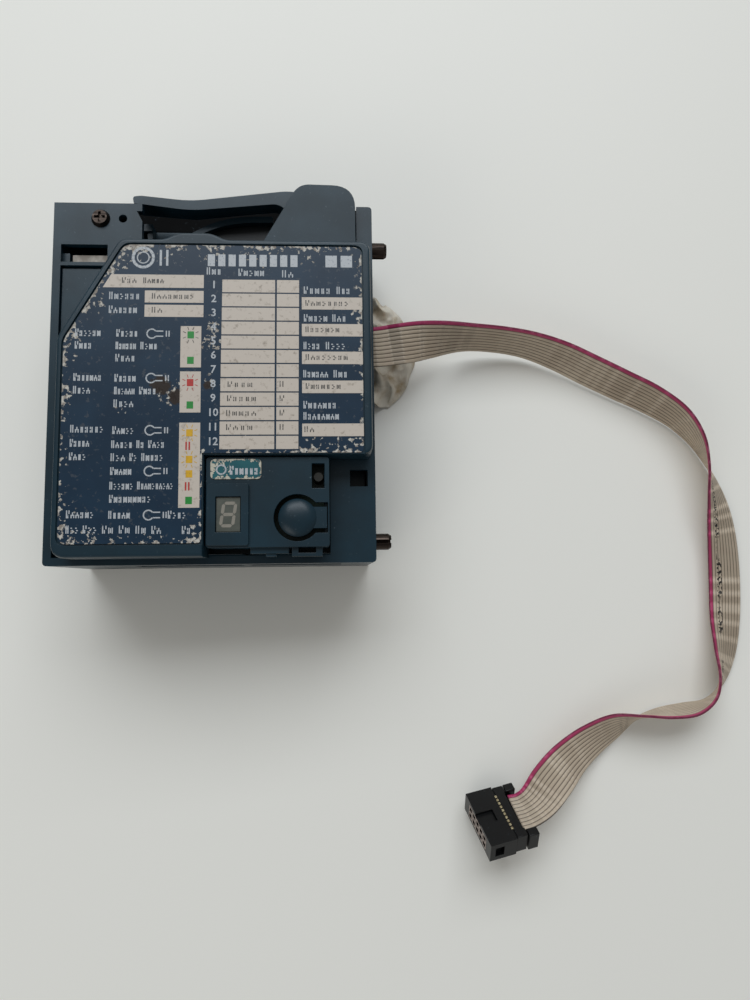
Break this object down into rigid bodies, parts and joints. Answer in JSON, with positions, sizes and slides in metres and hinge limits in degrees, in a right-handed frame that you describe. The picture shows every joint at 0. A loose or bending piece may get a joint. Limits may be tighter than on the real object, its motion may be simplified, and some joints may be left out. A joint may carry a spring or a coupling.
{
  "type": "coin acceptor",
  "caption": "Flat coin acceptor with a coin mouth, reject lever, hinged flight deck, one-digit panel with a push button, side mounting pins and a ribbon cable with its plug.",
  "frame": {"origin": "centre of the rear cover's flat rear face", "axes": "+X out of the side with the mounting pins, +Y towards the coin mouth (up in use), +Z out of the label face"},
  "size_m": [0.2119, 0.1964, 0.05],
  "materials": {
    "housing_plastic": "moulded satin, slate teal",
    "rear_plastic": "moulded matt",
    "label_film": "printed polyester film, worn edges",
    "sticker_film": "printed film, worn",
    "display_face": "moulded face under clear resin",
    "led_lens": "tinted epoxy",
    "circuit_board": "solder mask",
    "black_plastic": "moulded matt",
    "plug_plastic": "glass-filled polyester, satin",
    "bright_steel": "plain",
    "dark_steel": "oiled spring steel",
    "copper_winding": "enamelled wire",
    "natural_nylon": "moulded, unpigmented",
    "rubber_pad": "moulded",
    "paper_tape": "crumpled creped paper",
    "ribbon_pvc": "extruded PVC"
  },
  "bodies": {
    "housing": {"main_body": "housing_plastic", "mouth_lip": "black_plastic", "rear_cover": "rear_plastic", "front_cover": "housing_plastic", "front_label": "label_film", "control_panel": "housing_plastic", "panel_sticker": "sticker_film", "display_module": "display_face", "status_led": "led_lens", "main_board": "circuit_board", "switch_body": "black_plastic", "deck_hinge_pin": "bright_steel", "hinge_clip": "natural_nylon", "deck_spring": "bright_steel", "entry_guide": "housing_plastic", "lever_pivot_pin": "bright_steel", "lever_spring": "bright_steel", "runway_strip": "bright_steel", "impact_pad": "rubber_pad", "gate_pivot_pin": "bright_steel", "gate_spring": "bright_steel", "solenoid_yoke": "bright_steel", "solenoid_coil": "copper_winding", "rear_board": "circuit_board", "ribbon_header": "black_plastic", "entry_coil_rear": "black_plastic", "run_coil_rear": "black_plastic", "exit_emitter": "black_plastic", "upper_mounting_pin": "dark_steel", "lower_mounting_pin": "dark_steel", "plate_screw": "dark_steel", "rear_screw_1": "dark_steel", "rear_screw_2": "dark_steel", "rear_screw_3": "dark_steel", "rear_screw_4": "dark_steel", "tape_patch": "paper_tape", "ribbon_cable": "ribbon_pvc", "plug_body": "plug_plastic", "plug_cover": "plug_plastic", "plug_strain_relief": "plug_plastic"},
    "deck": {"flight_deck": "housing_plastic", "entry_coil_front": "black_plastic", "run_coil_front": "black_plastic", "exit_receiver": "black_plastic"},
    "lever": {"reject_lever": "housing_plastic"},
    "gate": {"accept_gate": "rear_plastic"},
    "plunger": {"solenoid_plunger": "bright_steel"},
    "button": {"push_button": "housing_plastic", "switch_stem": "bright_steel"}
  },
  "joints": [
    {"name": "lever_turn", "type": "hinge", "parent": "housing", "child": "lever", "pos_m": [0.033, 0.044, 0.035], "axis": [0, 0, 1], "range_deg": [0, 4], "stiffness_Nm_per_rad": 0.15, "springref_deg": -5.73},
    {"name": "deck_swing", "type": "hinge", "parent": "housing", "child": "deck", "pos_m": [0, 0.0345, 0.0354], "axis": [-1, 0, 0], "range_deg": [0, 2]},
    {"name": "plunger_pull", "type": "slide", "parent": "housing", "child": "plunger", "axis": [0, -1, 0], "range_m": [0, 0.0022], "stiffness_N_per_m": 200, "springref_m": -0.001},
    {"name": "gate_turn", "type": "hinge", "parent": "housing", "child": "gate", "pos_m": [0.022, -0.03, 0.016], "axis": [-1, 0, 0], "range_deg": [0, 16]},
    {"name": "button_press", "type": "hinge", "parent": "housing", "child": "button", "pos_m": [0.0312, -0.03915, 0.0472], "axis": [0, -1, 0], "range_deg": [0, 3], "stiffness_Nm_per_rad": 0.3, "springref_deg": -1.15}
  ],
  "couplings": [
    {"joint": "deck_swing", "follows": "lever_turn", "ratio": 0.5},
    {"joint": "gate_turn", "follows": "plunger_pull", "rad_per_m": 125}
  ]
}
